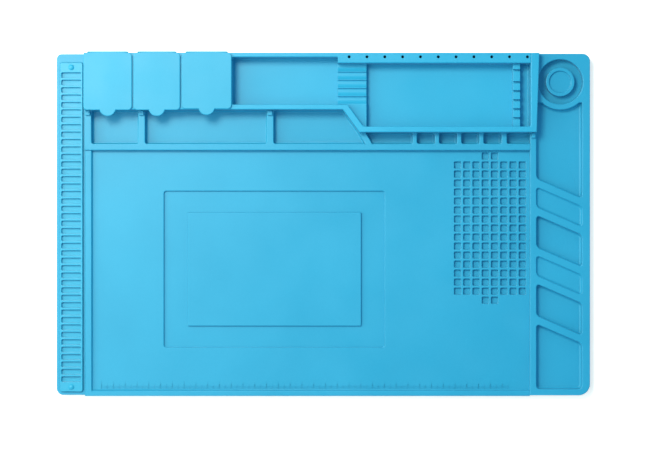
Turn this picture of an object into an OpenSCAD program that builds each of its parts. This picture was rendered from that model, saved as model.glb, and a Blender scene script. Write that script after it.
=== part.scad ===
// Silicone soldering and repair mat with a lidded organiser tray.
// Origin: middle of the underside. +X to the right, +Y to the rear, +Z up, millimetres.

/* [Mat] */
// Width of the whole mat, left to right
mat_w = 452; // [376:4:540]
// Depth of the whole mat with the lids' hinges, front to rear
mat_d = 291; // [243:2:349]
// Thickness of the bottom sheet
sheet_t = 2; // [1.5:0.1:4]
// Height of the bins and of the parts trough above the bench
block_h = 10; // [8.5:0.5:14]
// Height of the rims at the left and the front of the work area
rim_h = 8; // [6.5:0.5:9.5]
// Height of the work surface
work_h = 5; // [4.5:0.25:6]
// Width of the rim along the left of the work area
rim_left_w = 5.8; // [4:0.2:9]
// Width of the rim along the front of the work area
rim_front_w = 4.8; // [3:0.2:9]
// How far the work area's front rim stands out past the two side strips
front_lip = 0.8; // [0:0.1:2]
// Width of the zone that carries the bit strip
strip_zone_w = 24.2; // [20:0.2:34]
// Width of the parts trough down the right side
trough_w = 50.8; // [44:0.2:64]
// Radius of the rear left corner
rear_left_r = 4.2; // [1:0.1:8]
// Radius of the front left corner
front_left_r = 5.5; // [1:0.1:8]
// Radius of the rear right corner
rear_right_r = 6.4; // [1:0.1:12]
// Radius of the front right corner
front_right_r = 9.7; // [1:0.1:12]

/* [Work area] */
// Width of the shallow recess in the middle of the work area
window_w = 187.4; // [150:0.2:225]
// Depth of that recess, front to rear
window_d = 132.7; // [100:0.1:150]
// How far the recess is sunk into the work surface
window_deep = 2; // [1:0.1:2.2]
// Corner radius of the recess
window_r = 2; // [0.5:0.1:6]
// Width of the raised pad inside the recess
pad_w = 147.5; // [100:0.5:177]
// Depth of the raised pad, front to rear
pad_d = 96.5; // [60:0.5:116]
// Height of the raised pad above the floor of the recess
pad_up = 2; // [1:0.1:4]
// Corner radius of the raised pad
pad_r = 1.2; // [0.5:0.1:6]

/* [Screw sockets] */
// Side of one square screw socket
socket_w = 5.9; // [4.5:0.1:7.2]
// Depth of one screw socket
socket_deep = 2.9; // [1:0.1:2.9]
// Distance between socket columns
socket_pitch_x = 7.86; // [7:0.02:9.4]
// Distance between socket rows
socket_pitch_y = 7.65; // [7:0.05:9.2]
// Number of socket columns
socket_cols = 8; // [4:2:9]
// Number of full socket rows, without the pair at each end
socket_rows = 15; // [6:1:16]
// Gap between the sockets and the parts trough
socket_gap_x = 3; // [1.5:0.1:6]
// Gap between the rear pair of sockets and the bins
socket_gap_y = 1.7; // [1:0.1:6]

/* [Bit strip] */
// Height of the bed around the bit strip
strip_bed_h = 6; // [5:0.25:8]
// Height of the seat that the bit strip lies on
strip_seat_h = 5; // [4:0.25:5.5]
// Thickness of the bit strip
strip_t = 3.5; // [2.8:0.1:5]
// Border left of the bit strip
strip_border_left = 3.2; // [1:0.1:4.5]
// Channel right of the bit strip
strip_channel = 1.9; // [1:0.1:3.5]
// Border behind the bit strip
strip_border_rear = 7.6; // [4:0.1:12]
// Border in front of the bit strip
strip_border_front = 3.1; // [2:0.1:6]
// Corner radius of the bit strip
strip_r = 1.5; // [0.5:0.1:4]
// Length of one slot, left to right
slot_w = 16.6; // [12:0.1:17.2]
// Width of one slot, front to rear
slot_h = 4.55; // [3:0.05:5.4]
// Distance from slot to slot
slot_pitch = 6.28; // [5.9:0.02:7.6]
// Depth of one slot
slot_deep = 2.5; // [1:0.1:2.6]
// Plain length kept at each end of the bit strip, for a stud
slot_end = 7.9; // [7.5:0.1:14]
// Radius of a stud's dome head
stud_head_r = 2.5; // [2:0.1:3]
// Height of a stud's dome head
stud_head_h = 1.2; // [0.6:0.1:2]
// Radius of a stud's shank
stud_r = 1.2; // [0.8:0.05:1.6]
// How far a stud stands in from the end of the bit strip
stud_inset = 3.9; // [3.2:0.1:4.6]

/* [Bins] */
// Thickness of the bins' front rim
bins_rim = 5.6; // [4:0.1:8]
// Distance from the stepped front of the tray to the front of the bins
bins_reach = 14.9; // [12:0.1:20]
// Thickness of the ribs between the large bins
rib_w = 5.9; // [4:0.1:8]
// Width of the first bin
bin_1_w = 39.5; // [30:0.5:48]
// Width of the second bin
bin_2_w = 102.9; // [80:0.5:124]
// Thickness of the slanted rib, left to right
slant_rib_w = 5.8; // [3:0.1:8]
// How far the slanted rib runs to the right towards its front
slant_rib_run = 5.3; // [2:0.1:9]
// Width of a small bin
small_bin_w = 15.1; // [12:0.1:18]
// Thickness of the ribs between the small bins
small_rib_w = 3.7; // [2.5:0.1:6]
// Width of the last small bin
last_bin_w = 19.6; // [15:0.1:24]
// Thickness of the rib beside the last small bin
last_rib_w = 4.6; // [2.5:0.1:6]
// Least width of the bin beside the slanted rib
slant_bin_min = 22; // [15:1:30]
// Corner radius of the bins
bin_r = 1.8; // [0.5:0.1:3]
// Depth of a locating lug, front to rear
lug_d = 4.2; // [2:0.1:6]
// Height of a locating lug above its rib
lug_h = 2.4; // [1:0.1:5]
// How much narrower than its rib a lug is
lug_inset = 1; // [0.4:0.1:2]

/* [Parts trough] */
// Thickness of the trough's left wall
trough_wall = 5.4; // [4.5:0.1:8]
// Thickness of the trough's right wall
trough_rim = 6.8; // [3:0.1:9]
// Thickness of the trough's front wall
trough_front = 5.3; // [3:0.1:9]
// Height of the floor of the deep bays
deep_floor_h = 4; // [2.5:0.25:5]
// Height of the floor of the shallow bays
shallow_floor_h = 7; // [5:0.25:7.5]
// Thickness of the slanted ribs, front to rear
bay_rib = 7; // [5:0.1:9]
// Length of a shallow bay, front to rear
shallow_bay = 17; // [13:0.5:20]
// Length of a deep bay, front to rear
deep_bay = 27; // [22:0.5:32]
// How far the slanted ribs drop towards the right wall
bay_drop = 16.7; // [10:0.1:20]
// How far the four middle bays stand towards the front from centre
bay_shift = 1.5; // [0:0.1:4]
// Radius of the round well
well_r = 19; // [15.8:0.1:19]
// Thickness of the ring around the well
ring_w = 4.7; // [3:0.1:6]
// Distance from the well's centre to the mat's right edge
well_in = 25.1; // [22:0.1:27]
// Distance from the well's centre to the mat's rear edge
well_back = 23.8; // [22:0.1:30]
// Radius of the round post in the well
post_r = 12.2; // [10:0.1:14]
// Height of the post above the bottom sheet
post_h = 6.4; // [4:0.1:8]
// Radius of the dish in the top of the post
dish_r = 9.3; // [6:0.1:9.8]
// Depth of the dish
dish_deep = 2; // [1:0.1:3]

/* [Tray] */
// Height of the tray's rim above the bench
tray_h = 18.5; // [15.5:0.5:24]
// Thickness of the tray's floor
tray_floor_t = 2.2; // [1.5:0.1:4]
// Depth of the left part of the tray, front to rear
tray_left_d = 47.8; // [41:0.2:57]
// Depth of the right part of the tray, front to rear
tray_right_d = 66.9; // [61:0.1:80]
// Distance from the left of the tray to the top of its slanted wall
slant_at = 218; // [182:1:245]
// How far the slanted wall runs to the right
slant_run = 13.9; // [6:0.1:20]
// Thickness of the tray's rear and left walls
tray_wall = 3.7; // [2.5:0.1:5]
// Thickness of the tray's front wall, at its left part
tray_front_wall = 4.2; // [3.6:0.1:6]
// Thickness of the tray's front wall, at its right part
tray_step_wall = 4.8; // [3.6:0.1:7]
// Thickness of the tray's slanted wall
tray_slant_wall = 5.8; // [3.6:0.1:7]
// Width of the mat's wall that the tray's rim overhangs
ledge_w = 1.8; // [1.2:0.1:2.2]
// How far the tray's right edge runs out past the trough's left face, at its front
tray_over = 4.7; // [4:0.1:5.2]
// How much further it runs out at its rear
tray_flare = 2.2; // [0:0.1:2.4]
// Thickness of the tray's right wall below its rim
tray_right_wall = 1.5; // [1.2:0.1:1.6]
// Running gap between the tray and the mat
fit_gap = 0.3; // [0.2:0.05:0.5]
// Thickness of the walls between the lidded boxes
box_wall = 3; // [2:0.1:4]
// Corner radius of the boxes
box_r = 1.8; // [0.5:0.1:3]

/* [Tool rests] */
// Width of the bar that holds the row of holes, front to rear
rack_d = 8.7; // [6:0.1:12]
// Radius of a hole in the rack
rack_hole_r = 1.2; // [0.8:0.05:2]
// Depth of a hole in the rack
rack_hole_deep = 12; // [4:0.5:12]
// Distance from hole to hole
rack_pitch = 15; // [12:0.5:18]
// Distance from the rear edge to the row of holes
rack_hole_back = 3.5; // [2.5:0.1:6]
// Distance from the left end of the rack to its first hole
rack_first = 9.6; // [6:0.1:12]
// Least distance from the last hole to the right end of the rack
rack_last = 2.5; // [2:0.1:6]
// Height of the left tool rest above the bench
rest_h = 12; // [9:0.5:15]
// Width of the left tool rest
rest_w = 24.4; // [20:0.2:30]
// Number of scallops in the left tool rest
scallops = 5; // [3:1:6]
// Depth of a scallop
scallop_deep = 2.2; // [1:0.1:3]
// Width of the flat land between two scallops
scallop_land = 0.7; // [0.4:0.1:2]
// Height of the right tool rest above the bench
notch_rest_h = 13; // [10:0.5:15]
// Thickness of the right tool rest
notch_rest_w = 6.1; // [4:0.1:8]
// Width of the pocket right of the right tool rest
side_pocket_w = 8.3; // [6:0.1:12]
// Width of a notch
notch_w = 1.7; // [1:0.1:3]
// Depth of a notch
notch_deep = 3.5; // [2:0.1:5]
// Distance from notch to notch
notch_pitch = 7.6; // [6:0.1:10]
// Distance from the front wall to the first notch
notch_first = 7.2; // [5:0.1:10]
// Distance from the rack to the last notch
notch_last = 5.7; // [4:0.1:8]

/* [Lids] */
// Thickness of a lid
lid_t = 2; // [1.5:0.1:3]
// Widths of the three lids, left to right
lid_w = [41, 39.3, 42]; // [34:0.1:48]
// Gap between two lids
lid_gap = 1.2; // [0.8:0.1:2]
// How far each lid stands out past the tray's front wall
lid_over = [0.6, 0.6, -0.3]; // [-1:0.1:2]
// Corner radius of a lid
lid_r = 3.4; // [1:0.1:6]
// Radius of a lid's front tab
tab_r = 7.05; // [5:0.05:9]
// How far the tab's centre stands in from the lid's front edge
tab_in = 1.9; // [0:0.1:4]
// Thickness of the living hinge
hinge_t = 1; // [0.6:0.1:1.6]
// Length of the living hinge on the tray's rear wall
hinge_drop = 2; // [1:0.1:4]

/* [Hidden] */
$fn = 48;

// Over-run of a cut past the face that it opens
cut = 1;
// Clearances of the bit strip in its seat, and of the studs' shanks
seat_gap = 0.15;
shank_gap = 0.05;

// Edges of the mat and of its zones
left = -mat_w / 2;
right = mat_w / 2;
front = -mat_d / 2;
rear = mat_d / 2 - hinge_t;
side_front = front + front_lip;
strip_right = left + strip_zone_w;
trough_left = right - trough_w;

// Plan of the tray: its rim, and the body below the rim that stands in the mat
tray_left = strip_right + fit_gap;
tray_front = rear - tray_left_d;
tray_step = rear - tray_right_d;
slant_x0 = tray_left + slant_at;
slant_x1 = slant_x0 + slant_run;
tray_right_front = trough_left + tray_over;
tray_right_rear = tray_right_front + tray_flare;
body_right = trough_left + 1.1;
body_inset = ledge_w + fit_gap;
floor_h = sheet_t + tray_floor_t;
rim_under = block_h + fit_gap;

// X of the slanted wall's outer face at depth y, moved square to the wall by off
slant_slope = slant_run / (tray_front - tray_step);
slant_len = sqrt(1 + slant_slope * slant_slope);
function slant_x(y, off) = slant_x0 + (tray_front - y) * slant_slope + off * slant_len;

// Bins
bins_front = tray_step - bins_reach;
bins_in = bins_front + bins_rim;
bin_1_x = strip_right + rim_left_w;
bin_2_x = bin_1_x + bin_1_w + rib_w;
bin_3_x = bin_2_x + bin_2_w + rib_w;
last_bin_x = trough_left - last_bin_w;
small_pitch = small_bin_w + small_rib_w;
slant_foot = slant_x1 + slant_rib_run;
small_room = last_bin_x - last_rib_w - slant_foot - slant_rib_w - slant_bin_min;
small_count = max(0, floor(small_room / small_pitch));
slant_bin_right = last_bin_x - last_rib_w - small_count * small_pitch;

// Work area
work_left = strip_right + rim_left_w;
work_front = front + rim_front_w;
grid_w = (socket_cols - 1) * socket_pitch_x + socket_w;
grid_left = trough_left - socket_gap_x - grid_w;
window_x = (work_left + grid_left) / 2 + 1;
window_y = (bins_front + work_front) / 2 + 1;
window_h = work_h - window_deep;

// Bit strip
plate_x0 = left + strip_border_left;
plate_x1 = strip_right - strip_channel;
plate_y0 = side_front + strip_border_front;
plate_y1 = rear - strip_border_rear;
plate_mid_x = (plate_x0 + plate_x1) / 2;
plate_mid_y = (plate_y0 + plate_y1) / 2;
plate_h = strip_seat_h + strip_t;
slot_count = floor((plate_y1 - plate_y0 - 2 * slot_end + slot_pitch - slot_h) / slot_pitch);
stud_ys = [plate_y0 + stud_inset, plate_y1 - stud_inset];

// Parts trough
bay_left = trough_left + trough_wall;
bay_right = right - trough_rim;
bay_front = side_front + trough_front;
well_x = right - well_in;
well_y = rear - well_back;
ring_front = well_y - well_r - ring_w;
bay_lengths = [shallow_bay, deep_bay, shallow_bay, deep_bay];
bays_len = 2 * shallow_bay + 2 * deep_bay + 5 * bay_rib;
first_bay_front = ring_front - (ring_front - bay_front - bays_len) / 2 - bay_shift;
// Left rear corner of middle bay i
function bay_y(i) = i == 0 ? first_bay_front - bay_rib : bay_y(i - 1) - bay_lengths[i - 1] - bay_rib;

// Lidded boxes and lids
function lid_x(i) = i == 0 ? tray_left : lid_x(i - 1) + lid_w[i - 1] + lid_gap;
function lid_mid(i) = lid_x(i) + lid_w[i] / 2;
function box_x0(i) = i == 0 ? tray_left + tray_wall : lid_x(i) - lid_gap / 2 + box_wall / 2;
function box_x1(i) = i == 2 ? lid_x(2) + lid_w[2] + fit_gap - box_wall
                            : lid_x(i + 1) - lid_gap / 2 - box_wall / 2;
box_front = tray_front + tray_front_wall;
box_rear = rear - tray_wall;

// Open part of the tray
tool_left = lid_x(2) + lid_w[2] + fit_gap;
rack_front = rear - rack_d;
cavity_right = body_right - tray_right_wall;
cavity_step = tray_step + tray_step_wall;
rest_x0 = tray_left + slant_at - 4.1;
rest_x1 = rest_x0 + rest_w;
rest_front = box_front + 0.4;
rack_len = cavity_right - rest_x0;
rack_count = floor((rack_len - rack_first - rack_last) / rack_pitch) + 1;
notch_x1 = cavity_right - side_pocket_w;
notch_x0 = notch_x1 - notch_rest_w;
notch_room = rack_front - notch_last - cavity_step - notch_first - notch_pitch;
notch_count = floor(notch_room / notch_pitch) + 1;

silicone = "DeepSkyBlue";
silicone_light = "SkyBlue";
silicone_deep = "SteelBlue";

// A box from corner (x0, y0, z0) to corner (x1, y1, z1)
module block(x0, y0, z0, x1, y1, z1) {
    translate([x0, y0, z0]) cube([x1 - x0, y1 - y0, z1 - z0]);
}

// A rectangle with round corners, from corner (x0, y0) to corner (x1, y1)
module round_rect(x0, y0, x1, y1, r) {
    translate([x0 + r, y0]) square([x1 - x0 - 2 * r, y1 - y0]);
    translate([x0, y0 + r]) square([x1 - x0, y1 - y0 - 2 * r]);
    for (x = [x0 + r, x1 - r], y = [y0 + r, y1 - r]) translate([x, y]) circle(r);
}

// The same, as a solid between heights z0 and z1
module round_block(x0, y0, z0, x1, y1, z1, r) {
    translate([0, 0, z0]) linear_extrude(z1 - z0) round_rect(x0, y0, x1, y1, r);
}

// What is cut from a square corner to round it; sx and sy point out of the corner
module corner_waste(x, y, sx, sy, r) {
    translate([x - sx * r, y - sy * r]) difference() {
        translate([sx > 0 ? 0 : -r - cut, sy > 0 ? 0 : -r - cut]) square(r + cut);
        circle(r);
    }
}

// Plan of the whole mat
module mat_plan() {
    difference() {
        translate([left, side_front]) square([mat_w, rear - side_front]);
        corner_waste(left, rear, -1, 1, rear_left_r);
        corner_waste(left, side_front, -1, -1, front_left_r);
        corner_waste(right, rear, 1, 1, rear_right_r);
        corner_waste(right, side_front, 1, -1, front_right_r);
    }
    translate([strip_right, front]) square([trough_left - strip_right, front_lip]);
}

// The part of the mat between two X values, as a solid from z0 to z1
module mat_slice(x0, x1, z0, z1) {
    translate([0, 0, z0]) linear_extrude(z1 - z0) intersection() {
        mat_plan();
        translate([x0, front]) square([x1 - x0, mat_d]);
    }
}

// Plan of the tray, moved in by off at the front, the slant and the right
module tray_plan(off, right_rear, right_front) {
    polygon([
        [tray_left, rear], [right_rear, rear], [right_front, tray_step + off],
        [slant_x(tray_step + off, off), tray_step + off],
        [slant_x(tray_front + off, off), tray_front + off], [tray_left, tray_front + off]
    ]);
}

// The room that the mat keeps free for the body of the tray
module tray_bed() {
    translate([0, 0, sheet_t - cut]) linear_extrude(block_h)
        tray_plan(ledge_w, body_right + fit_gap, body_right + fit_gap);
}

module base_sheet() {
    color(silicone_deep) linear_extrude(sheet_t) mat_plan();
}

module strip_bed() {
    color(silicone) difference() {
        mat_slice(left, strip_right, sheet_t, strip_bed_h);
        round_block(plate_x0 - seat_gap, plate_y0 - seat_gap, strip_seat_h,
                    plate_x1 + seat_gap, plate_y1 + seat_gap, strip_bed_h + cut, strip_r + seat_gap);
        for (y = stud_ys)
            translate([plate_mid_x, y, sheet_t + 1]) cylinder(r = stud_r + shank_gap, h = block_h);
    }
}

module work_mat() {
    color(silicone) difference() {
        block(strip_right, front, sheet_t, trough_left, bins_front, rim_h);
        block(work_left, work_front, work_h, trough_left + cut, bins_front + cut, rim_h + cut);
        round_block(window_x - window_w / 2, window_y - window_d / 2, window_h,
                    window_x + window_w / 2, window_y + window_d / 2, rim_h, window_r);
        screw_sockets();
    }
}

// Rows of square sockets, with one pair centred behind them and one pair in front
module screw_sockets() {
    mid = socket_cols / 2;
    for (row = [0 : socket_rows + 1], col = [0 : socket_cols - 1])
        if ((row > 0 && row <= socket_rows) || col == mid - 1 || col == mid)
            translate([grid_left + col * socket_pitch_x,
                       bins_front - socket_gap_y - socket_w - row * socket_pitch_y, work_h - socket_deep])
                cube([socket_w, socket_w, socket_deep + cut]);
}

module work_pad() {
    color(silicone_light) round_block(window_x - pad_w / 2, window_y - pad_d / 2, window_h,
                                      window_x + pad_w / 2, window_y + pad_d / 2, window_h + pad_up, pad_r);
}

module front_bins() {
    color(silicone) {
        difference() {
            block(strip_right, bins_front, sheet_t, trough_left, tray_front + ledge_w, block_h);
            tray_bed();
            large_bins();
            small_bins();
        }
        bin_lug(bin_1_x - rim_left_w, rim_left_w);
        bin_lug(bin_2_x - rib_w, rib_w);
        bin_lug(bin_3_x - rib_w, rib_w);
    }
}

// Three large bins; the third ends at the slanted rib
module large_bins() {
    top = block_h + cut;
    round_block(bin_1_x, bins_in, sheet_t - cut, bin_1_x + bin_1_w, tray_front, top, bin_r);
    round_block(bin_2_x, bins_in, sheet_t - cut, bin_2_x + bin_2_w, tray_front, top, bin_r);
    round_block(bin_3_x, bins_in, sheet_t - cut, slant_x0, tray_front, top, bin_r);
    translate([0, 0, sheet_t - cut]) linear_extrude(top - sheet_t + cut)
        polygon([[slant_x0 - 2 * bin_r, bins_in], [slant_foot, bins_in], [slant_x1, tray_step],
                 [slant_x0, tray_front], [slant_x0 - 2 * bin_r, tray_front]]);
}

// The bin beside the slanted rib, a row of small bins and the wider last one
module small_bins() {
    top = block_h + cut;
    translate([0, 0, sheet_t - cut]) linear_extrude(top - sheet_t + cut)
        polygon([[slant_foot + slant_rib_w, bins_in], [slant_bin_right - bin_r, bins_in],
                 [slant_bin_right - bin_r, tray_step], [slant_x1 + slant_rib_w, tray_step]]);
    round_block(slant_bin_right - 4 * bin_r, bins_in, sheet_t - cut, slant_bin_right, tray_step, top, bin_r);
    for (i = [0 : 1 : small_count - 1]) {
        x = slant_bin_right + small_rib_w + i * small_pitch;
        round_block(x, bins_in, sheet_t - cut, x + small_bin_w, tray_step, top, bin_r);
    }
    round_block(last_bin_x, bins_in, sheet_t - cut, trough_left - bin_r, tray_step, top, bin_r);
    block(trough_left - 2 * bin_r, bins_in, sheet_t - cut, trough_left + cut, tray_step, top);
}

// A lug on the rib that starts at x, just in front of the tray
module bin_lug(x, w) {
    block(x + lug_inset, tray_front - fit_gap - lug_d, block_h, x + w - lug_inset, tray_front - fit_gap,
          block_h + lug_h);
}

module parts_trough() {
    color(silicone) {
        difference() {
            mat_slice(trough_left, right, sheet_t, block_h);
            tray_bed();
            translate([well_x, well_y, sheet_t - cut]) cylinder(r = well_r, h = block_h);
            first_bay();
            for (i = [0 : 3]) middle_bay(i);
            last_bay();
        }
        block(trough_left + lug_inset, tray_step - fit_gap - lug_d, block_h,
              bay_left - lug_inset, tray_step - fit_gap, block_h + lug_h);
    }
}

// The bay in front of the round well
module first_bay() {
    translate([0, 0, deep_floor_h]) linear_extrude(block_h) difference() {
        polygon([[bay_left, first_bay_front], [bay_right, first_bay_front - bay_drop],
                 [bay_right, ring_front + 6], [bay_left, ring_front + 6]]);
        translate([well_x, well_y]) circle(well_r + ring_w);
    }
}

// One of the four bays between slanted ribs
module middle_bay(i) {
    y1 = bay_y(i);
    y0 = y1 - bay_lengths[i];
    translate([0, 0, i % 2 == 0 ? shallow_floor_h : deep_floor_h]) linear_extrude(block_h)
        polygon([[bay_left, y0], [bay_right, y0 - bay_drop], [bay_right, y1 - bay_drop], [bay_left, y1]]);
}

// The bay at the front, square at its front end
module last_bay() {
    y1 = bay_y(3) - deep_bay - bay_rib;
    translate([0, 0, deep_floor_h]) linear_extrude(block_h)
        polygon([[bay_left, bay_front], [bay_right, bay_front], [bay_right, y1 - bay_drop], [bay_left, y1]]);
}

module well_post() {
    color(silicone_light) translate([well_x, well_y, sheet_t]) difference() {
        cylinder(r = post_r, h = post_h);
        translate([0, 0, post_h - dish_deep]) cylinder(r = dish_r, h = dish_deep + cut);
    }
}

module bit_strip() {
    first_y = plate_mid_y + ((slot_count - 1) * slot_pitch + slot_h) / 2;
    color(silicone_light) difference() {
        round_block(plate_x0, plate_y0, strip_seat_h, plate_x1, plate_y1, plate_h, strip_r);
        for (i = [0 : slot_count - 1])
            translate([plate_mid_x - slot_w / 2, first_y - slot_h - i * slot_pitch, plate_h - slot_deep])
                cube([slot_w, slot_h, slot_deep + cut]);
        for (y = stud_ys) translate([plate_mid_x, y, sheet_t]) cylinder(r = stud_r + shank_gap, h = block_h);
    }
}

module strip_studs() {
    dome_r = (stud_head_r * stud_head_r + stud_head_h * stud_head_h) / (2 * stud_head_h);
    color(silicone_light) for (y = stud_ys) translate([plate_mid_x, y, 0]) {
        translate([0, 0, sheet_t + 1.2]) cylinder(r = stud_r, h = plate_h - sheet_t - 1.2);
        translate([0, 0, plate_h]) intersection() {
            translate([0, 0, stud_head_h - dome_r]) sphere(dome_r);
            cylinder(r = stud_head_r, h = stud_head_h + cut);
        }
    }
}

module upper_tray() {
    color(silicone) difference() {
        union() {
            translate([0, 0, sheet_t]) linear_extrude(rim_under - sheet_t)
                tray_plan(body_inset, body_right, body_right);
            translate([0, 0, rim_under]) linear_extrude(tray_h - rim_under)
                tray_plan(0, tray_right_rear, tray_right_front);
        }
        for (i = [0 : 2])
            round_block(box_x0(i), box_front, floor_h, box_x1(i), box_rear, tray_h + cut, box_r);
        translate([0, 0, floor_h]) linear_extrude(tray_h) tray_cavity();
    }
}

// Plan of the open part of the tray, with the room that the rack takes
module tray_cavity() {
    polygon([
        [tool_left, box_rear], [rest_x0, box_rear], [rest_x0, rear + cut], [cavity_right, rear + cut],
        [cavity_right, cavity_step], [slant_x(cavity_step, tray_slant_wall), cavity_step],
        [slant_x(box_front, tray_slant_wall), box_front], [tool_left, box_front]
    ]);
}

module bit_rack() {
    color(silicone) difference() {
        block(rest_x0, rack_front, floor_h, cavity_right, rear, tray_h);
        for (i = [0 : rack_count - 1])
            translate([rest_x0 + rack_first + i * rack_pitch, rear - rack_hole_back, tray_h - rack_hole_deep])
                cylinder(r = rack_hole_r, h = rack_hole_deep + cut);
    }
}

// A block with a row of scallops across it, and a flat wedge that fills the corner beside the slanted wall
module left_tool_rest() {
    pitch = (rack_front - rest_front) / scallops;
    color(silicone_light) {
        difference() {
            block(rest_x0, rest_front, floor_h, rest_x1, rack_front, rest_h);
            for (i = [0 : scallops - 1]) translate([rest_x0 - cut, rack_front - i * pitch, rest_h])
                scallop(pitch, rest_w + 2 * cut);
        }
        translate([0, 0, floor_h]) linear_extrude(rest_h - floor_h)
            polygon([[rest_x1, rest_front], [slant_x(rest_front, tray_slant_wall), rest_front],
                     [slant_x(cavity_step, tray_slant_wall), cavity_step], [rest_x1, cavity_step]]);
    }
}

// A groove that is steep at its rear and rises gently to its front, lying along X
module scallop(pitch, length) {
    width = pitch - scallop_land;
    low = width / 4;
    reach = width - low;
    r = (reach * reach + scallop_deep * scallop_deep) / (2 * scallop_deep);
    rotate([90, 0, 90]) linear_extrude(length) intersection() {
        translate([-low, r - scallop_deep]) circle(r, $fn = 96);
        translate([-width - cut, -scallop_deep - cut]) square([width + cut, scallop_deep + 2 * cut]);
    }
}

module right_tool_rest() {
    color(silicone_light) difference() {
        block(notch_x0, cavity_step, floor_h, notch_x1, rack_front, notch_rest_h);
        for (i = [0 : notch_count - 1]) rest_notch(cavity_step + notch_first + i * notch_pitch);
        rest_notch(rack_front - notch_last);
    }
}

module rest_notch(y) {
    block(notch_x0 - cut, y - notch_w / 2, notch_rest_h - notch_deep, notch_x1 + cut, y + notch_w / 2,
          notch_rest_h + cut);
}

// Lid i: a plate with a half-round tab at its front
module lid(i) {
    front_y = tray_front - lid_over[i];
    color(silicone_light) translate([0, 0, tray_h]) linear_extrude(lid_t) {
        round_rect(lid_x(i), front_y, lid_x(i) + lid_w[i], rear, lid_r);
        translate([lid_mid(i), front_y + tab_in]) circle(tab_r);
    }
}

// The strip that bends, bonded to the tray's rear wall and to the rear edge of lid i
module lid_hinge(i) {
    color(silicone_deep) block(lid_x(i) + lid_r, rear, tray_h - hinge_drop,
                               lid_x(i) + lid_w[i] - lid_r, rear + hinge_t, tray_h + lid_t);
}

module lid_1() { lid(0); }
module lid_2() { lid(1); }
module lid_3() { lid(2); }
module lid_hinge_1() { lid_hinge(0); }
module lid_hinge_2() { lid_hinge(1); }
module lid_hinge_3() { lid_hinge(2); }

base_sheet();
strip_bed();
work_mat();
front_bins();
parts_trough();
well_post();
work_pad();
bit_strip();
strip_studs();
upper_tray();
bit_rack();
left_tool_rest();
right_tool_rest();
lid_1();
lid_2();
lid_3();
lid_hinge_1();
lid_hinge_2();
lid_hinge_3();
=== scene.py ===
# %% [markdown]
# # A silicone soldering mat with a lift-out organiser
# The object is a flat, flexible work mat with a strip for driver bits, bins, a trough, and a tray with
# three hinged lids. The CAD model gives every wall its place. Here each moulding gets what CAD leaves
# out: rounded edges, soft inner corners, a ruler in low relief, and the look of matt silicone.

import math

import bpy
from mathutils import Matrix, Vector


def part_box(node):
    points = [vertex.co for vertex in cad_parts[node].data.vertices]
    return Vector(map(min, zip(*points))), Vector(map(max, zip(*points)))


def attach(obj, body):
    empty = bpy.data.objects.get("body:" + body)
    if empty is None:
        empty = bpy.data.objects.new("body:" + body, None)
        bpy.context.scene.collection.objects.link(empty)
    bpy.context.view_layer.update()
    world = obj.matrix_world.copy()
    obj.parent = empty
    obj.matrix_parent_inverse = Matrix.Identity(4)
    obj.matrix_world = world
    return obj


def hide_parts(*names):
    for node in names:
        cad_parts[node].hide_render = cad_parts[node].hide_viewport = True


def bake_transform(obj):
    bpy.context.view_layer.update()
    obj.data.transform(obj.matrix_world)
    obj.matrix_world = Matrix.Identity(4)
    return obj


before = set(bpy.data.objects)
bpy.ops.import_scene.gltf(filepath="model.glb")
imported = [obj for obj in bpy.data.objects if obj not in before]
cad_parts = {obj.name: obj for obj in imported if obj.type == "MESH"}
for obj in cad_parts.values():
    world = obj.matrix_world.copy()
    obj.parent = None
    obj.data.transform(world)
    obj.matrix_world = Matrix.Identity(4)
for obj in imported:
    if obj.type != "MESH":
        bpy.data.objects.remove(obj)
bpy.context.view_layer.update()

# %% [markdown]
# ## Places to work from
# Places seen from above are read off the CAD nodes' own boxes, so this file follows the model when a size
# changes. Floors and rims inside a node can't be read off its box, so their heights are named here, in
# millimetres above the bench. Blender works in metres, and `mm()` turns a maker's millimetres into them.

# %% Where the zones of the mat meet
X, Y, Z = 0, 1, 2


def mm(*values):
    """Millimetres to metres: one number, or a vector of three."""
    return values[0] / 1000 if len(values) == 1 else Vector(values) / 1000


SHEET_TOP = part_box("base_sheet")[1].z
STRIP_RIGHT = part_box("strip_bed")[1].x
TROUGH_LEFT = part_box("parts_trough")[0].x
BINS_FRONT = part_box("front_bins")[0].y
RACK_LEFT, RACK_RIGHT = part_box("bit_rack")[0].x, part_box("bit_rack")[1].x
RACK_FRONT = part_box("bit_rack")[0].y
TRAY_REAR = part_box("upper_tray")[1].y
RIM_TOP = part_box("upper_tray")[1].z
print("zones meet at x", round(STRIP_RIGHT, 4), round(TROUGH_LEFT, 4), "and y", round(BINS_FRONT, 4))

# %% Heights of floors and rims, in millimetres
SEAT_FLOOR, BED_TOP = 5, 6
SLOT_FLOOR, STRIP_TOP = 6, 8.5
SOCKET_FLOOR, RECESS_FLOOR, WORK_TOP, WORK_RIM = 2.1, 3, 5, 8
BIN_FLOOR, WALL_TOP, LUG_TOP = 2.04, 10, 12.4
DEEP_BAY, SHALLOW_BAY = 4, 7
TRAY_FOOT, TRAY_FLOOR, RIM_UNDERSIDE = 2, 4.2, 10.3
print("work surface", WORK_TOP, "mm, walls", WALL_TOP, "mm, tray rim", round(RIM_TOP * 1000, 1), "mm")

# %% [markdown]
# ## Small tools
# Most edits below are the same few moves: select one piece, go into edit mode, pick edges or faces by
# their place, run one operator, and come back. Picking is done in code, because there is no mouse here.
# The CAD nodes are selected after loading, so every tool first clears the selection.

# %% Select, edit and apply


def only(*pieces):
    """Selects just these pieces; the first is active."""
    if bpy.context.object and bpy.context.object.mode != "OBJECT":
        bpy.ops.object.mode_set(mode="OBJECT")
    bpy.ops.object.select_all(action="DESELECT")
    for piece in pieces:
        piece.select_set(True)
    bpy.context.view_layer.objects.active = pieces[0]


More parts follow.
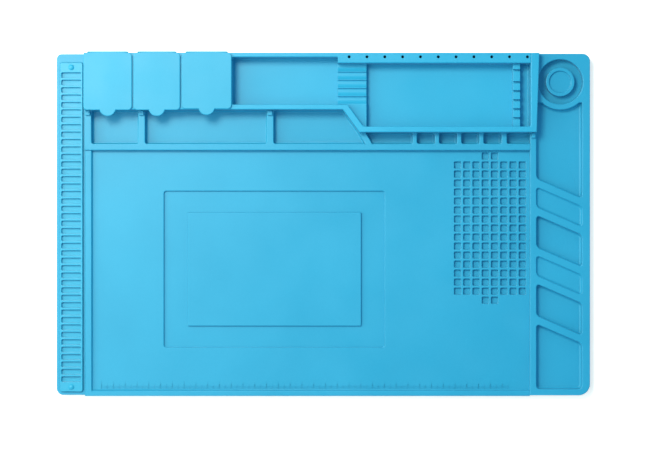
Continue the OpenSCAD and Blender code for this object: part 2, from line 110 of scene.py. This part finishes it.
def edit(piece):
    """Edit mode, picking edges, with nothing picked."""
    only(piece)
    bpy.ops.object.mode_set(mode="EDIT")
    bpy.ops.mesh.select_mode(type="EDGE")
    bpy.ops.mesh.select_all(action="DESELECT")


def leave():
    """Back to object mode."""
    bpy.ops.object.mode_set(mode="OBJECT")


def pick(piece, faces=(), edges=()):
    """Selects faces and edges of a piece by number, in object mode."""
    mesh = piece.data
    for group in (mesh.vertices, mesh.edges, mesh.polygons):
        group.foreach_set("select", [False] * len(group))
    for i in faces:
        mesh.polygons[i].select = True
    borders = [mesh.loops[i].edge_index for n in faces for i in mesh.polygons[n].loop_indices]
    for i in [*edges, *borders]:
        mesh.edges[i].select = True
        for v in mesh.edges[i].vertices:
            mesh.vertices[v].select = True


def apply_modifier(piece, kind, **settings):
    """Adds a modifier, sets it and applies it to the mesh."""
    only(piece)
    modifier = piece.modifiers.new(kind.lower(), kind)
    for name, value in settings.items():
        setattr(modifier, name, value)
    bpy.ops.object.modifier_apply(modifier=modifier.name)


def new_block(name, middle, size):
    """A block from the cube primitive, with its place and size in its mesh."""
    bpy.ops.object.select_all(action="DESELECT")
    bpy.ops.mesh.primitive_cube_add(size=1, location=middle, scale=size)
    bpy.ops.object.transform_apply()
    block = bpy.context.object
    block.name = block.data.name = name
    return block


# %% [markdown]
# ## Starting from a CAD moulding
# A CAD node arrives as loose triangles. A copy is welded with Merge by Distance, and Limited Dissolve
# joins the triangles of each flat face into one, which is what a bevel needs: it then runs along true
# edges only. A face with pockets in it would be joined round its holes by stray edges that end in the
# pockets' corners, and a bevel tears there. So Bisect first cuts the mesh square through the middle of
# the pockets, and the cuts are kept as seams: every face is then one plain outline.

# %% Weld, floor and cut
WELD = mm(0.01)
FLAT = math.radians(0.5)


def weld(piece):
    edit(piece)
    bpy.ops.mesh.select_all(action="SELECT")
    bpy.ops.mesh.remove_doubles(threshold=WELD)
    leave()


def join_floor(piece, outline, bottom, top):
    """Unites a piece with a thin slab of this outline."""
    bpy.ops.object.select_all(action="DESELECT")
    bpy.ops.mesh.primitive_circle_add(vertices=len(outline), fill_type="NGON")
    slab = bpy.context.object
    for point, (x, y) in zip(slab.data.vertices, outline):
        point.co = (x, y, bottom)
    edit(slab)
    bpy.ops.mesh.select_all(action="SELECT")
    bpy.ops.mesh.extrude_region_move(TRANSFORM_OT_translate={"value": (0, 0, top - bottom)})
    bpy.ops.mesh.select_all(action="SELECT")
    bpy.ops.mesh.normals_make_consistent(inside=False)
    leave()
    apply_modifier(piece, "BOOLEAN", operation="UNION", object=slab, solver="EXACT")
    bpy.data.objects.remove(slab)
    weld(piece)


def cut_square(piece, axis, places, right_of=None):
    """Cuts a piece at each place along an axis, or only its faces right_of a line, and keeps seams."""
    normal = Vector((axis == X, axis == Y, 0))
    for place in places:
        edit(piece)
        bpy.ops.mesh.select_all(action="SELECT")
        if right_of is not None:
            leave()
            pick(piece, [f.index for f in piece.data.polygons if f.center.x > right_of])
            bpy.ops.object.mode_set(mode="EDIT")
        bpy.ops.mesh.bisect(plane_co=normal * place, plane_no=normal)
        bpy.ops.mesh.mark_seam(clear=False)
        leave()


# %% Copy a CAD node and clean it


def moulding(node, name, x=(), y=(), right_of=None, floor=None):
    """A clean copy of a CAD node, cut at each x and y; right_of limits the y cuts, and floor adds a slab."""
    piece = bpy.data.objects.new(name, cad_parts[node].data.copy())
    piece.data.name = name
    piece.data.materials.clear()
    bpy.context.scene.collection.objects.link(piece)
    weld(piece)
    if floor:
        join_floor(piece, *floor)
    cut_square(piece, X, x)
    cut_square(piece, Y, y, right_of)
    edit(piece)
    bpy.ops.mesh.select_all(action="SELECT")
    bpy.ops.mesh.dissolve_limited(angle_limit=FLAT, delimit={"SEAM"})
    leave()
    return piece


# %% [markdown]
# ## Picking edges by place
# A bevel needs a choice of edges. Each function below builds a test for one edge, given by its two
# ends, and `every` and `some` join tests. Areas are rectangles seen from above, in metres.

# %% Tests for edges
SLACK = mm(0.02)


def on_plane(axis, place):
    """Edges that lie where x, y or z has this value."""
    return lambda a, b: all(abs(p[axis] - place) < SLACK for p in (a, b))


def off_plane(axis, place):
    return lambda a, b: not on_plane(axis, place)(a, b)


def at_height(height):
    """Edges that lie level at one height, in millimetres."""
    return on_plane(Z, mm(height))


def above(height):
    """Edges that lie wholly above a height, in metres."""
    return lambda a, b: min(a.z, b.z) > height


def within(area):
    x0, x1, y0, y1 = area
    return lambda a, b: all(x0 <= p.x <= x1 and y0 <= p.y <= y1 for p in (a, b))


def outside(area):
    return lambda a, b: not within(area)(a, b)


def taller_than(height):
    """Upright edges longer than this, in millimetres."""
    return lambda a, b: abs(a.z - b.z) > mm(height) and math.hypot(a.x - b.x, a.y - b.y) < WELD


def every(*tests):
    return lambda a, b: all(test(a, b) for test in tests)


def some(*tests):
    return lambda a, b: any(test(a, b) for test in tests)


upright = taller_than(1.2)

# %% [markdown]
# ## Rounded edges
# Silicone comes out of its mould with every edge slightly rounded, and the rounding is what catches the
# light and makes it look soft. One bevel operator does it: it turns an outer edge into a rounding and an
# inner corner into a fillet. The order matters. The upright corners of a pocket come first, then the
# corner round its floor, with a smaller radius, then its top edge; each bevel then runs round a curve
# that is already there. `where` picks edges by place, and `kind` asks for inner or outer ones.

# %% Bevel the sharp edges of a piece
EDGE_ANGLE = math.radians(28)


def edge_kinds(mesh):
    """Whether each edge is an inner or an outer one, by the two ends of the edge."""
    sides, kinds = {}, {}
    for face in mesh.polygons:
        ring = list(face.vertices)
        for a, b in zip(ring, ring[1:] + ring[:1]):
            sides.setdefault((min(a, b), max(a, b)), []).append((a, b, face.normal))
    for key, faces in sides.items():
        if len(faces) == 2:
            (a, b, normal), (_, _, other) = faces
            along = mesh.vertices[b].co - mesh.vertices[a].co
            kinds[key] = "outer" if normal.cross(other).dot(along) > 0 else "inner"
    return kinds


def round_edges(piece, radius, steps=3, where=every(), kind=None, profile=0.5):
    """Rounds the sharp edges that pass the test `where` and are of the kind asked for."""
    edit(piece)
    bpy.ops.mesh.edges_select_sharp(sharpness=EDGE_ANGLE)
    leave()
    mesh = piece.data
    kinds = edge_kinds(mesh) if kind else {}
    points = [v.co.copy() for v in mesh.vertices]
    chosen = [e.index for e in mesh.edges if e.select and where(*(points[i] for i in e.vertices))
              and (not kind or kinds.get(tuple(sorted(e.vertices))) == kind)]
    print(f"{piece.name}: {len(chosen)} edges rounded to {radius} mm")
    if chosen:
        pick(piece, edges=chosen)
        bpy.ops.object.mode_set(mode="EDIT")
        bpy.ops.mesh.bevel(offset=mm(radius), segments=steps, profile=profile, affect="EDGES",
                           clamp_overlap=False)
        leave()


# %% [markdown]
# ## Smooth shading that keeps flats flat
# Shade Smooth alone would bend the light over the large flat faces. Smooth by Angle keeps the creases,
# and a Weighted Normal modifier then points the normals of each rounded edge along its big neighbours, so
# the flats stay flat and only the roundings turn. Smooth by Angle misses some edges here, and a crease
# that is missed shades a flat face like a hollow, so the steep edges are also picked by Select Sharp
# Edges and marked.

# %% Finish a surface and tie it to its body
FACE_WEIGHT = 85


def finish_surface(piece, material, body, nodes=(), angle=42):
    """Shades a piece, gives it its silicone, and says which body it rides on and what it replaces."""
    only(piece)
    bpy.ops.object.shade_smooth_by_angle(angle=math.radians(angle))
    edit(piece)
    bpy.ops.mesh.edges_select_sharp(sharpness=math.radians(angle))
    bpy.ops.mesh.mark_sharp()
    leave()
    apply_modifier(piece, "WEIGHTED_NORMAL", keep_sharp=True, weight=FACE_WEIGHT)
    piece.data.materials.append(material)
    if body:
        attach(piece, body)
    if nodes:
        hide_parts(*nodes)
    print(f"{piece.name}: {len(piece.data.vertices)} points, {len(piece.data.polygons)} faces")


# %% [markdown]
# ## The silicone
# All mouldings are cast from one sky-blue silicone. Close up it isn't one flat colour: pigment is spread
# a little unevenly, the mould leaves a fine matt grain, and handling leaves slightly shinier patches.
# Noise textures at four scales give those, on Object coordinates, so the grain keeps its real size. Light
# does go a short way into silicone, but subsurface scattering is left out: with it the narrow screw
# sockets came out dark and grey. Values that are the same all over stand on the shader's own sockets.

# %% Node helpers


def link(tree, source, out, target, into):
    tree.links.new(source.outputs[out], target.inputs[into])


def noise(tree, coords, scale, detail, roughness=0.5):
    """A noise texture with this many waves to the metre."""
    node = tree.nodes.new("ShaderNodeTexNoise")
    node.inputs["Scale"].default_value = scale
    node.inputs["Detail"].default_value = detail
    node.inputs["Roughness"].default_value = roughness
    link(tree, coords, "Object", node, "Vector")
    return node


# %% Pigment, patches and grain


def add_pigment(tree, coords, shader, deep, light):
    """Clouds of pigment with fine specks in them, between two shades."""
    cloud = noise(tree, coords, scale=14, detail=4)
    speck = noise(tree, coords, scale=900, detail=2, roughness=0.6)
    blend = tree.nodes.new("ShaderNodeMath")
    blend.operation = "MULTIPLY_ADD"
    speck_share = blend.inputs[1]
    speck_share.default_value = 0.35
    link(tree, speck, "Fac", blend, 0)
    link(tree, cloud, "Fac", blend, 2)
    ramp = tree.nodes.new("ShaderNodeValToRGB")
    for stop, place, shade in zip(ramp.color_ramp.elements, (0.45, 0.9), (deep, light)):
        stop.position = place
        stop.color = (*shade, 1)
    link(tree, blend, "Value", ramp, "Fac")
    link(tree, ramp, "Color", shader, "Base Color")


def add_handling(tree, coords, shader, gloss):
    """Patches that are a little shinier or duller than the rest."""
    patch = noise(tree, coords, scale=30, detail=3)
    rough = tree.nodes.new("ShaderNodeMapRange")
    rough.inputs["From Min"].default_value = 0.3
    rough.inputs["From Max"].default_value = 0.7
    rough.inputs["To Min"].default_value = gloss - 0.03
    rough.inputs["To Max"].default_value = gloss + 0.06
    link(tree, patch, "Fac", rough, "Value")
    link(tree, rough, "Result", shader, "Roughness")


def add_grain(tree, coords, shader):
    """The fine matt grain of the mould, under a tenth of a millimetre deep."""
    grain = noise(tree, coords, scale=2600, detail=2, roughness=0.65)
    bump = tree.nodes.new("ShaderNodeBump")
    bump.inputs["Strength"].default_value = 0.35
    bump.inputs["Distance"].default_value = mm(0.08)
    link(tree, grain, "Fac", bump, "Height")
    link(tree, bump, "Normal", shader, "Normal")


# %% One silicone recipe, with copies painted lighter


def silicone(name, deep, light, gloss=0.4):
    """Matt silicone that varies between two shades of one pigment."""
    material = bpy.data.materials.new(name)
    material.use_nodes = True
    tree = material.node_tree
    shader = tree.nodes["Principled BSDF"]
    shader.inputs["Specular IOR Level"].default_value = 0.42
    shader.inputs["Sheen Weight"].default_value = 0.06
    shader.inputs["Sheen Roughness"].default_value = 0.45
    coords = tree.nodes.new("ShaderNodeTexCoord")
    add_pigment(tree, coords, shader, deep, light)
    add_handling(tree, coords, shader, gloss)
    add_grain(tree, coords, shader)
    return material


MAT_BLUE = silicone("mat_silicone_blue", (0.018, 0.304, 0.496), (0.024, 0.333, 0.535))
# Painted light: the tray, lids and bit strip get copies of the mat's silicone painted lighter, to stand in
# for the extra light these raised parts catch.
TRAY_BLUE_PAINTED_LIGHTER = silicone("tray_silicone_painted_lighter", (0.020, 0.336, 0.542), (0.027, 0.366, 0.582))
LID_BLUE_PAINTED_LIGHTER = silicone("lid_silicone_painted_lighter", (0.019, 0.322, 0.515), (0.025, 0.350, 0.553), gloss=0.42)
STRIP_BLUE_PAINTED_LIGHTER = silicone("strip_silicone_painted_lighter", (0.022, 0.340, 0.530), (0.030, 0.370, 0.570))
print("materials", [m.name for m in bpy.data.materials])

# %% [markdown]
# ## The mat: bottom sheet
# The sheet is a 2 mm skin under everything. It could be drawn anew as a rounded rectangle, but a copy of
# the CAD node is sure to fit. Its top carries the zones, so only its lower edge is rounded.

# %% Bottom sheet
sheet = moulding("base_sheet", "bottom_sheet")
round_edges(sheet, 0.5, where=at_height(0))
finish_surface(sheet, MAT_BLUE, "mat", ["base_sheet"])

# %% [markdown]
# ## The mat: bed of the bit strip
# The bed is a low frame round the seat of the strip. The inner corners of the seat are small, so the
# strip lies tight, and the frame's top edge is softer. Its right side runs on into the taller rim and
# bins, so that side stays unrounded.

# %% Bed of the bit strip
STRIP_MIDDLE = (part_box("bit_strip")[0].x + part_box("bit_strip")[1].x) / 2
bed = moulding("strip_bed", "bit_strip_bed", x=[STRIP_MIDDLE])
round_edges(bed, 0.3, steps=2, kind="inner", where=at_height(SEAT_FLOOR))
round_edges(bed, 0.5, kind="outer", where=every(at_height(BED_TOP), off_plane(X, STRIP_RIGHT)))
finish_surface(bed, MAT_BLUE, "mat", ["strip_bed"])

# %% [markdown]
# ## The mat: work area with its screw sockets
# The flat work area has a rim at the left and the front, a shallow recess, and rows of square sockets
# that keep screws in order. Sockets painted on by a bump map would look flat from the side, so all of
# them are true pockets, and one bevel gives each of them the same rounded mouth and filleted floor.

# %% Cuts through the middle of the sockets
COLUMNS, ROWS = 8, 17
COLUMN_PITCH, ROW_PITCH = 7.86, 7.65
LAST_COLUMN_IN, FIRST_ROW_IN = 5.95, 4.65
work_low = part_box("work_mat")[0]
window_middle = (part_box("work_pad")[0].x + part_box("work_pad")[1].x) / 2
columns = [TROUGH_LEFT - mm(LAST_COLUMN_IN + COLUMN_PITCH * i) for i in range(COLUMNS)]
rows = [BINS_FRONT - mm(FIRST_ROW_IN + ROW_PITCH * i) for i in range(ROWS)]
beside_sockets = columns[-1] - mm(6)
SOCKETS = (TROUGH_LEFT - mm(66), TROUGH_LEFT - mm(1), -mm(75), BINS_FRONT - mm(1))
WINDOW = (work_low.x + mm(20), TROUGH_LEFT - mm(70), work_low.y + mm(20), BINS_FRONT - mm(20))
print(COLUMNS, "columns and", ROWS, "rows of sockets")

# %% Work area
work = moulding("work_mat", "work_area", x=[window_middle, beside_sockets, *columns], y=rows,
                right_of=beside_sockets)
free = every(off_plane(Y, BINS_FRONT), off_plane(X, TROUGH_LEFT))
round_edges(work, 0.8, steps=2, where=every(upright, within(SOCKETS)))
round_edges(work, 0.35, steps=2, where=at_height(SOCKET_FLOOR))
round_edges(work, 0.5, steps=2, where=every(at_height(WORK_TOP), within(SOCKETS)))
round_edges(work, 0.3, where=every(at_height(RECESS_FLOOR), within(WINDOW)))
round_edges(work, 0.6, where=every(at_height(WORK_TOP), within(WINDOW)))
round_edges(work, 1.0, where=every(at_height(WORK_TOP), free, outside(WINDOW), outside(SOCKETS)))
round_edges(work, 0.9, where=every(at_height(WORK_RIM), free))
finish_surface(work, MAT_BLUE, "mat", ["work_mat"])

# %% [markdown]
# ## The mat: raised pad
# The pad in the middle of the recess holds the thing being repaired off the floor. It is level with the
# work area round the recess, and one bevel round its top is all that it needs.

# %% Raised pad
pad = moulding("work_pad", "raised_pad")
round_edges(pad, 0.6, where=at_height(WORK_TOP))
finish_surface(pad, MAT_BLUE, "mat", ["work_pad"])

# %% [markdown]
# ## The mat: bins
# The bins are walls and ribs that stand on the sheet. A thin floor is joined to them first, a few
# hundredths above the sheet, so that the bevel also finds the inner corners at the floor and rounds them,
# as the mould does. The floor's outline follows the stepped and slanted front of the tray, and ends under
# its rim. Lugs on the ribs and on the trough's wall stand just in front of the tray and keep it in place.

# %% Floor of the bins
bins_low, bins_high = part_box("front_bins")
TRAY_FRONT_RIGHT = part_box("upper_tray")[0].y
TRAY_FRONT_LEFT = TRAY_FRONT_RIGHT + mm(19.1)
slant_left, slant_right = RACK_LEFT + mm(4.3), RACK_LEFT + mm(18.2)
under_walls, under_rim = mm(1), mm(1.4)
floor_left, floor_right = bins_low.x + under_walls, bins_high.x - mm(0.05)
floor_front = bins_low.y + under_walls
bins_floor = [
    (floor_left, floor_front), (floor_right, floor_front), (floor_right, TRAY_FRONT_RIGHT + under_rim),
    (slant_right, TRAY_FRONT_RIGHT + under_rim), (slant_left, TRAY_FRONT_LEFT + under_rim),
    (floor_left, TRAY_FRONT_LEFT + under_rim),
]
print("bins", round((floor_right - floor_left) * 1000), "mm from end to end")

# %% Bins with their floor
LUG_GAP, LUG_DEPTH, HALF_LUG = mm(0.2), mm(4.5), mm(2.2)
lug_rear = TRAY_FRONT_LEFT - LUG_GAP
LUG_FOOT = (-mm(210), mm(185), lug_rear - LUG_DEPTH, lug_rear)
bins = moulding("front_bins", "parts_bins", x=[TROUGH_LEFT - mm(1.2)],
                y=[BINS_FRONT + mm(9.5), lug_rear - HALF_LUG],
                floor=(bins_floor, SHEET_TOP / 2, mm(BIN_FLOOR)))
round_edges(bins, 1.5, kind="inner", where=at_height(BIN_FLOOR), profile=0.4)
round_edges(bins, 0.75, kind="outer",
            where=every(at_height(WALL_TOP), outside(LUG_FOOT), off_plane(X, TROUGH_LEFT)))
round_edges(bins, 0.5, kind="outer", where=at_height(LUG_TOP))
finish_surface(bins, MAT_BLUE, "mat", ["front_bins"])

# %% [markdown]
# ## The mat: parts trough
# Slanted ribs split the trough into deep and shallow bays, and small parts are swept out of them with a
# finger. So the corners are wide: the upright ones get the widest bevel used here, and the fillet
# round each floor is about half as wide. A wider fillet folds over itself in the sharp corners, and even
# at this width the finished piece keeps a few small folded triangles.

# %% Parts trough
trough_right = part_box("parts_trough")[1].x
BAYS = (TROUGH_LEFT + mm(4), trough_right - mm(4), -mm(150), mm(80))
WELL = (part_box("well_post")[0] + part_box("well_post")[1]) / 2
trough_lug_rear = TRAY_FRONT_RIGHT - LUG_GAP
TROUGH_LUG_FOOT = (TROUGH_LEFT, TROUGH_LEFT + mm(6), trough_lug_rear - LUG_DEPTH, trough_lug_rear)
trough = moulding("parts_trough", "parts_trough_walls", x=[WELL.x], y=[trough_lug_rear - HALF_LUG])
round_edges(trough, 3.2, steps=5, kind="inner", where=every(upright, within(BAYS)))
for bay_floor in (DEEP_BAY, SHALLOW_BAY):
    round_edges(trough, 1.75, kind="inner", where=at_height(bay_floor), profile=0.35)
round_edges(trough, 0.8, kind="outer", where=every(at_height(WALL_TOP), outside(TROUGH_LUG_FOOT)))
round_edges(trough, 0.5, where=at_height(LUG_TOP))
finish_surface(trough, MAT_BLUE, "mat", ["parts_trough"])

# %% [markdown]
# ## The mat: post in the round well
# The post keeps small screws in its dish and leaves a ring-shaped channel round it. It stands on the
# sheet, so every edge but the one at its foot is rounded.

# %% Round post
post = moulding("well_post", "well_post_disc", x=[WELL.x])
round_edges(post, 0.6, where=above(SHEET_TOP + mm(0.1)))
finish_surface(post, MAT_BLUE, "mat", ["well_post"])

# %% [markdown]
# ## The bit strip and its studs
# The strip is a separate plate that lies in its seat. Its many narrow slots are true pockets too, with
# one cut down the middle for all of them. Two studs with domed heads pull through the strip and hold it;
# the domes come finely curved from the CAD model and only need smooth shading.

# %% Bit strip
strip = moulding("bit_strip", "bit_strip_plate", x=[STRIP_MIDDLE])
round_edges(strip, 0.9, steps=2, where=every(upright, above(mm(5.5))))
round_edges(strip, 0.4, steps=2, where=at_height(SLOT_FLOOR))
round_edges(strip, 0.45, steps=2, where=at_height(STRIP_TOP))
finish_surface(strip, STRIP_BLUE_PAINTED_LIGHTER, "mat", ["bit_strip"])

# %% Studs
studs = moulding("strip_studs", "strip_stud_pair")
finish_surface(studs, STRIP_BLUE_PAINTED_LIGHTER, "mat", ["strip_studs"], angle=50)

# %% [markdown]
# ## The tray
# The tray is a second moulding that lifts out of the mat. Its boxes get rounded corners from floor to
# rim. Where the rear bar is let into the tray's walls, the two run on into each other, so the edges stay
# as they are.

# %% Tray
BAR_BED = (RACK_LEFT - mm(0.1), RACK_RIGHT + mm(0.1), RACK_FRONT - mm(0.2), TRAY_REAR + mm(1))
box_corners = every(taller_than(12), above(mm(4)))
tray = moulding("upper_tray", "organiser_tray", y=[RACK_FRONT - mm(15)])
round_edges(tray, 1.5, kind="inner", where=box_corners)
round_edges(tray, 1.2, kind="inner", where=at_height(TRAY_FLOOR))
round_edges(tray, 0.8, kind="outer", where=every(on_plane(Z, RIM_TOP), outside(BAR_BED)))
round_edges(tray, 0.4, kind="outer", where=at_height(RIM_UNDERSIDE))
round_edges(tray, 0.4, kind="outer", where=at_height(TRAY_FOOT))
finish_surface(tray, TRAY_BLUE_PAINTED_LIGHTER, "tray", ["upper_tray"])

# %% [markdown]
# ## The rear bar and the tool rests
# The bar holds drivers upright in its row of holes. A scalloped block and a notched bar hold tools that
# lie along the tray. Their ribs are thin, so their edges get smaller radii than the tray's.

# %% Rear bar with its holes
HOLE_ROW = (RACK_LEFT, RACK_RIGHT, RACK_FRONT + mm(2), TRAY_REAR - mm(1.5))
long_edges = some(on_plane(Y, RACK_FRONT), on_plane(Y, TRAY_REAR))
rack = moulding("bit_rack", "tool_hole_bar", y=[TRAY_REAR - mm(3.5)])
round_edges(rack, 0.8, where=every(on_plane(Z, RIM_TOP), long_edges))
round_edges(rack, 0.25, steps=2, where=every(on_plane(Z, RIM_TOP), within(HOLE_ROW)))
finish_surface(rack, TRAY_BLUE_PAINTED_LIGHTER, "tray", ["bit_rack"])

# %% Tool rests
for node, name, radius in (
    ("left_tool_rest", "scalloped_rest", 0.3),
    ("right_tool_rest", "notched_rest", 0.35),
):
    rest = moulding(node, name)
    round_edges(rest, radius, steps=2, where=above(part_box(node)[0].z + mm(0.1)))
    finish_surface(rest, TRAY_BLUE_PAINTED_LIGHTER, "tray", [node])

# %% [markdown]
# ## The lids
# Each lid is a soft plate with a half-round tab to lift it by. Its rear edge runs on into the hinge, so
# that edge alone stays square.

# %% Three lids
LIDS = [
    ("lid_1", "lid_hinge_1", "lid_left"),
    ("lid_2", "lid_hinge_2", "lid_middle"),
    ("lid_3", "lid_hinge_3", "lid_right"),
]
for node, hinge, body in LIDS:
    plate = moulding(node, body + "_plate")
    top_or_underside = some(on_plane(Z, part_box(node)[1].z), on_plane(Z, RIM_TOP))
    round_edges(plate, 0.75, where=every(off_plane(Y, TRAY_REAR), top_or_underside))
    finish_surface(plate, LID_BLUE_PAINTED_LIGHTER, body, [node])

# %% [markdown]
# ## The living hinges
# A living hinge is a thin web that bends; its band joins the tray's rear wall to the lid's rear edge. Here
# each web is a block in the CAD hinge's place, cut into rows across its height, and it rides on no body.

# %% Webs cut into rows
WEB_ROWS = 16
for node, hinge, body in LIDS:
    low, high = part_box(hinge)
    middle, size = (low + high) / 2, high - low
    web = new_block(body + "_web", middle, size)
    round_edges(web, 0.9, steps=4, where=every(upright, on_plane(Y, high.y)))
    round_edges(web, 0.5, where=every(on_plane(Z, high.z), off_plane(Y, low.y)))
    for step in range(1, WEB_ROWS):
        edit(web)
        bpy.ops.mesh.select_all(action="SELECT")
        bpy.ops.mesh.bisect(plane_co=(0, 0, low.z + size.z * step / WEB_ROWS), plane_no=(0, 0, 1))
        leave()
    finish_surface(web, LID_BLUE_PAINTED_LIGHTER, None, [hinge])
    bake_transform(web)

# %% [markdown]
# ## The ruler in the work area
# A ruler in low relief runs along the front rim. One tick is modelled, and an Array modifier repeats it;
# three rows with longer and longer ticks make millimetres, fives and tens.

# %% Ruler ticks
RULER_LENGTH = 345
RULER_START = Vector((STRIP_RIGHT, work_low.y, SHEET_TOP)) + mm(13.8, 6, 3)
TICK_HEIGHT, TICK_RISE = 0.3, 0.02
tick_rows = []
for every_mm, length, width in ((1, 2.6, 0.28), (5, 4.2, 0.34), (10, 6.2, 0.4)):
    middle = RULER_START + mm(0, length / 2, TICK_RISE)
    tick = new_block("ruler_tick", middle, mm(width, length, TICK_HEIGHT))
    round_edges(tick, 0.06, steps=1, where=above(RULER_START.z))
    apply_modifier(tick, "ARRAY", count=RULER_LENGTH // every_mm + 1, use_relative_offset=False,
                   use_constant_offset=True, constant_offset_displace=(mm(every_mm), 0, 0))
    tick_rows.append(tick)
only(*tick_rows)
bpy.ops.object.join()
ruler = bpy.context.object
ruler.name = ruler.data.name = "front_ruler"
finish_surface(ruler, MAT_BLUE, "mat")

# %% [markdown]
# ## Floor, light and camera
# The mat lies on a plain white table and is seen from straight above. A soft key light stands behind
# it to the left, so that every rim throws a short shadow to the right and the front. A wider fill light
# and a low side light soften it. A blue room light keeps the shadows in the silicone saturated, and the
# table glows a little in a warm tint, which keeps it white in that blue light.

# %% White table
bpy.ops.object.select_all(action="DESELECT")
bpy.ops.mesh.primitive_plane_add(size=6, location=(0, 0, -mm(0.05)))
table = bpy.context.object
table.name = "white_table"
white = bpy.data.materials.new("white_table_top")
white.use_nodes = True
table_shader = white.node_tree.nodes["Principled BSDF"]
table_shader.inputs["Base Color"].default_value = (0.9, 0.9, 0.9, 1)
table_shader.inputs["Roughness"].default_value = 0.9
table_shader.inputs["Specular IOR Level"].default_value = 0.1
table_shader.inputs["Emission Color"].default_value = (1, 0.72, 0.5, 1)
table_shader.inputs["Emission Strength"].default_value = 0.6
table.data.materials.append(white)

# %% Room light
scene = bpy.context.scene
scene.world = bpy.data.worlds.new("pale_room")
scene.world.use_nodes = True
room = scene.world.node_tree.nodes["Background"]
room.inputs["Color"].default_value = (0.3, 0.74, 1, 1)
room.inputs["Strength"].default_value = 0.72
scene.view_settings.view_transform = "Standard"
print("room light", [round(v, 2) for v in room.inputs["Color"].default_value])

# %% Soft studio lights: place and width in metres, and power in watts
LAMP_WHITE = (1, 0.98, 0.8)
for name, place, width, power in (
    ("window_light", Vector((-0.351, 0.4515, 1)) * 1.08, 0.42, 10.4),
    ("fill_light", Vector((-0.62, -0.06, 0.87)), 1.1, 5.2),
    ("side_light", Vector((-0.95, 0.25, 0.42)), 0.5, 2.6),
):
    lamp = bpy.data.lights.new(name, "AREA")
    lamp.shape = "DISK"
    lamp.size = width
    lamp.energy = power
    lamp.color = LAMP_WHITE
    light = bpy.data.objects.new(name, lamp)
    scene.collection.objects.link(light)
    light.location = place
    light.rotation_mode = "QUATERNION"
    light.rotation_quaternion = (-place).to_track_quat("-Z", "Y")
    print(name, [round(v, 3) for v in place], power, "W")

# %% Camera straight above, looking down
camera_data = bpy.data.cameras.new("overhead_camera")
camera_data.sensor_width = 36
camera_data.lens = 95.9
camera = bpy.data.objects.new("overhead_camera", camera_data)
scene.collection.objects.link(camera)
camera.location = mm(1.65, -0.5, 1475)
scene.camera = camera
